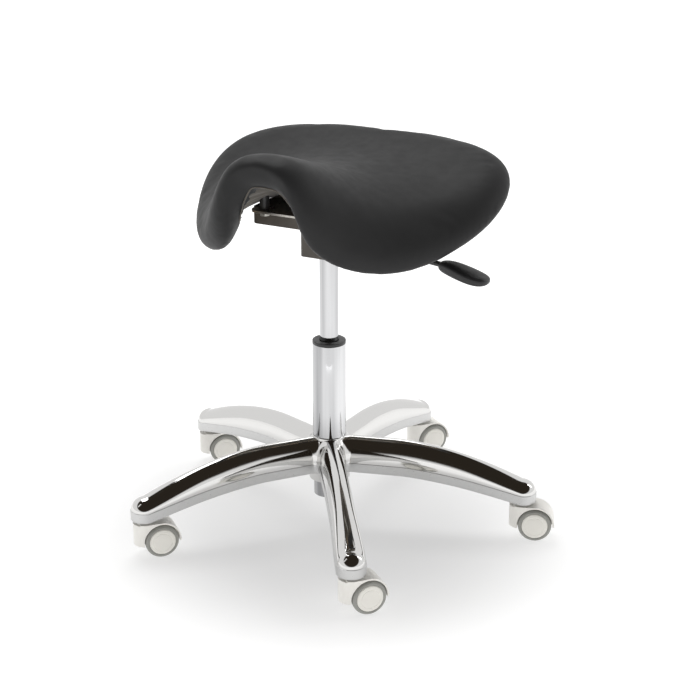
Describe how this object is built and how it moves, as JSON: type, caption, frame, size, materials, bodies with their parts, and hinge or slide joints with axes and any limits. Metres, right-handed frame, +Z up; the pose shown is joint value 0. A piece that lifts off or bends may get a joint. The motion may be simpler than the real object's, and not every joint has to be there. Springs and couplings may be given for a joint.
{
  "type": "saddle stool",
  "caption": "Height-adjustable saddle stool: padded saddle seat on a gas lift, polished star base and twin-wheel casters.",
  "frame": {"origin": "on the floor, under the axis of the column", "axes": "+Z up along the column; -Y towards the front of the saddle; +X towards the height lever, on the rider's left"},
  "size_m": [0.6335, 0.6103, 0.6114],
  "materials": {
    "polished_base": "polished cast aluminium, mirror bright",
    "chromed_tube": "bright chrome plate on steel tube",
    "ground_steel": "ground and hardened steel",
    "black_bush": "black acetal",
    "grey_sleeve": "grey nylon",
    "buffer_rubber": "moulded black rubber",
    "zinc_steel": "zinc plated steel",
    "dark_bracket": "dark brown-black powder coat",
    "plate_steel": "bare pressed steel plate",
    "spacer_plastic": "black nylon",
    "shell_ply": "moulded beech plywood",
    "seat_cover": "smooth black upholstery leatherette, soft sheen",
    "lever_black": "fine-grained black plastic",
    "lever_steel": "black enamelled rod",
    "valve_brass": "turned brass",
    "spring_steel": "spring wire",
    "caster_white": "warm white nylon, satin gloss",
    "wheel_white": "warm white nylon",
    "tyre_grey": "grey non-marking polyurethane",
    "axle_steel": "zinc plated steel"
  },
  "bodies": {
    "base": {"star_base": "polished_base", "column_tube": "chromed_tube", "guide_bush": "black_bush", "caster_sleeves": "grey_sleeve", "bottom_washer": "zinc_steel", "lower_race": "ground_steel", "bearing_balls": "ground_steel", "rod_buffer": "buffer_rubber"},
    "rod": {"piston_rod": "ground_steel", "piston": "ground_steel", "retaining_clip": "spring_steel", "upper_race": "ground_steel"},
    "lift": {"gas_cylinder": "chromed_tube", "mechanism_housing": "dark_bracket", "seat_plate": "plate_steel", "seat_spacers": "spacer_plastic", "seat_bolts": "zinc_steel", "seat_shell": "shell_ply", "seat_cushion": "seat_cover", "lever_pivot": "zinc_steel", "lever_spring": "spring_steel"},
    "lever": {"lever_rod": "lever_steel", "lever_paddle": "lever_black"},
    "valve": {"valve_pin": "valve_brass"},
    "caster1": {"caster1_hood": "caster_white", "caster1_stem": "zinc_steel", "caster1_axle": "axle_steel"},
    "caster1_left": {"caster1_wheel_left": "wheel_white", "caster1_tyre_left": "tyre_grey"},
    "caster1_right": {"caster1_wheel_right": "wheel_white", "caster1_tyre_right": "tyre_grey"},
    "caster2": {"caster2_hood": "caster_white", "caster2_stem": "zinc_steel", "caster2_axle": "axle_steel"},
    "caster2_left": {"caster2_wheel_left": "wheel_white", "caster2_tyre_left": "tyre_grey"},
    "caster2_right": {"caster2_wheel_right": "wheel_white", "caster2_tyre_right": "tyre_grey"},
    "caster3": {"caster3_hood": "caster_white", "caster3_stem": "zinc_steel", "caster3_axle": "axle_steel"},
    "caster3_left": {"caster3_wheel_left": "wheel_white", "caster3_tyre_left": "tyre_grey"},
    "caster3_right": {"caster3_wheel_right": "wheel_white", "caster3_tyre_right": "tyre_grey"},
    "caster4": {"caster4_hood": "caster_white", "caster4_stem": "zinc_steel", "caster4_axle": "axle_steel"},
    "caster4_left": {"caster4_wheel_left": "wheel_white", "caster4_tyre_left": "tyre_grey"},
    "caster4_right": {"caster4_wheel_right": "wheel_white", "caster4_tyre_right": "tyre_grey"},
    "caster5": {"caster5_hood": "caster_white", "caster5_stem": "zinc_steel", "caster5_axle": "axle_steel"},
    "caster5_left": {"caster5_wheel_left": "wheel_white", "caster5_tyre_left": "tyre_grey"},
    "caster5_right": {"caster5_wheel_right": "wheel_white", "caster5_tyre_right": "tyre_grey"}
  },
  "joints": [
    {"name": "seat_swivel", "type": "hinge", "parent": "base", "child": "rod", "pos_m": [0, 0, 0.05], "axis": [0, 0, 1], "continuous": true},
    {"name": "gas_lift", "type": "slide", "parent": "rod", "child": "lift", "axis": [0, 0, 1], "range_m": [-0.125, 0]},
    {"name": "lever_lift", "type": "hinge", "parent": "lift", "child": "lever", "pos_m": [0.06, 0, 0.4904], "axis": [0, -1, 0], "range_deg": [0, 3], "stiffness_Nm_per_rad": 2, "springref_deg": -3, "deforming": ["lever_spring"]},
    {"name": "valve_press", "type": "slide", "parent": "lift", "child": "valve", "axis": [0, 0, -1], "range_m": [0, 0.00314]},
    {"name": "caster1_swivel", "type": "hinge", "parent": "base", "child": "caster1", "pos_m": [0.16411, -0.24514, 0.05], "axis": [0, 0, 1], "continuous": true},
    {"name": "caster1_left_spin", "type": "hinge", "parent": "caster1", "child": "caster1_left", "pos_m": [0.17728, -0.23009, 0.025], "axis": [0.7524, -0.6587, 0], "continuous": true},
    {"name": "caster1_right_spin", "type": "hinge", "parent": "caster1", "child": "caster1_right", "pos_m": [0.17728, -0.23009, 0.025], "axis": [0.7524, -0.6587, 0], "continuous": true},
    {"name": "caster2_swivel", "type": "hinge", "parent": "base", "child": "caster2", "pos_m": [0.28385, 0.08032, 0.05], "axis": [0, 0, 1], "continuous": true},
    {"name": "caster2_left_spin", "type": "hinge", "parent": "caster2", "child": "caster2_left", "pos_m": [0.30242, 0.08775, 0.025], "axis": [0.3714, -0.9285, 0], "continuous": true},
    {"name": "caster2_right_spin", "type": "hinge", "parent": "caster2", "child": "caster2_right", "pos_m": [0.30242, 0.08775, 0.025], "axis": [0.3714, -0.9285, 0], "continuous": true},
    {"name": "caster3_swivel", "type": "hinge", "parent": "base", "child": "caster3", "pos_m": [0.01132, 0.29478, 0.05], "axis": [0, 0, 1], "continuous": true},
    {"name": "caster3_left_spin", "type": "hinge", "parent": "caster3", "child": "caster3_left", "pos_m": [0.02369, 0.3105, 0.025], "axis": [0.7859, -0.6184, 0], "continuous": true},
    {"name": "caster3_right_spin", "type": "hinge", "parent": "caster3", "child": "caster3_right", "pos_m": [0.02369, 0.3105, 0.025], "axis": [0.7859, -0.6184, 0], "continuous": true},
    {"name": "caster4_swivel", "type": "hinge", "parent": "base", "child": "caster4", "pos_m": [-0.27686, 0.10186, 0.05], "axis": [0, 0, 1], "continuous": true},
    {"name": "caster4_left_spin", "type": "hinge", "parent": "caster4", "child": "caster4_left", "pos_m": [-0.26218, 0.11545, 0.025], "axis": [0.6794, -0.7337, 0], "continuous": true},
    {"name": "caster4_right_spin", "type": "hinge", "parent": "caster4", "child": "caster4_right", "pos_m": [-0.26218, 0.11545, 0.025], "axis": [0.6794, -0.7337, 0], "continuous": true},
    {"name": "caster5_swivel", "type": "hinge", "parent": "base", "child": "caster5", "pos_m": [-0.18243, -0.23183, 0.05], "axis": [0, 0, 1], "continuous": true},
    {"name": "caster5_left_spin", "type": "hinge", "parent": "caster5", "child": "caster5_left", "pos_m": [-0.169, -0.21701, 0.025], "axis": [0.7408, -0.6717, 0], "continuous": true},
    {"name": "caster5_right_spin", "type": "hinge", "parent": "caster5", "child": "caster5_right", "pos_m": [-0.169, -0.21701, 0.025], "axis": [0.7408, -0.6717, 0], "continuous": true}
  ],
  "couplings": [
    {"joint": "valve_press", "follows": "lever_lift", "m_per_rad": 0.06}
  ]
}
